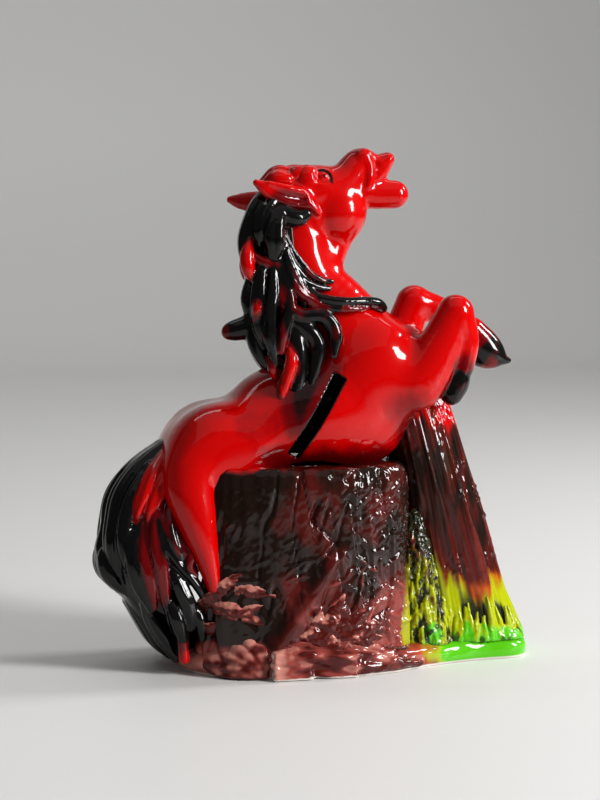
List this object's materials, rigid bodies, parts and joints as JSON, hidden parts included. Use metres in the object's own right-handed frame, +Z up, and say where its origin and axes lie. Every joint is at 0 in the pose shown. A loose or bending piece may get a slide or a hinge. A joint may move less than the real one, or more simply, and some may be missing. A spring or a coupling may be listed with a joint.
{
  "type": "coin bank",
  "caption": "Glossy coin bank shaped as a rearing horse lying over a hollow tree stump, with a coin slot in its flank and a pull-out stopper in its underside.",
  "frame": {"origin": "on the floor, under the middle of the whole figure's box", "axes": "+Z up, the horse faces +X, and -Y is the flank with the coin slot"},
  "size_m": [0.1442, 0.068, 0.169],
  "materials": {
    "coat_red": "gloss",
    "hair_black": "gloss",
    "bark": "gloss",
    "rose_bark": "gloss",
    "moss": "gloss",
    "grass": "gloss",
    "stopper_rubber": "matte"
  },
  "bodies": {
    "figure": {"base": "rose_bark", "stump": "bark", "root_stub": "rose_bark", "rock_right": "rose_bark", "rock_left": "rose_bark", "leaf_1": "rose_bark", "leaf_2": "rose_bark", "leaf_3": "rose_bark", "leaf_4": "rose_bark", "leaf_5": "rose_bark", "leaf_6": "rose_bark", "trunk": "bark", "moss_right": "moss", "moss_left": "moss", "grass_right": "grass", "grass_left": "grass", "body": "coat_red", "neck": "coat_red", "head": "coat_red", "ear_right": "coat_red", "ear_left": "coat_red", "foreleg_right": "coat_red", "foreleg_left": "coat_red", "hoof_right": "hair_black", "hoof_left": "hair_black", "hind_leg_right": "coat_red", "hind_leg_left": "coat_red", "forelock": "coat_red", "mane_crest": "hair_black", "mane_cheek_right": "hair_black", "mane_cheek_left": "hair_black", "mane_chest_right": "hair_black", "mane_shoulder_right": "hair_black", "mane_shoulder_left": "hair_black", "mane_curl": "hair_black", "tail": "hair_black"},
    "stopper": {"stopper": "stopper_rubber"}
  },
  "joints": [
    {"name": "stopper_pull", "type": "slide", "parent": "figure", "child": "stopper", "axis": [0, 0, -1], "range_m": [0, 0.03]}
  ]
}
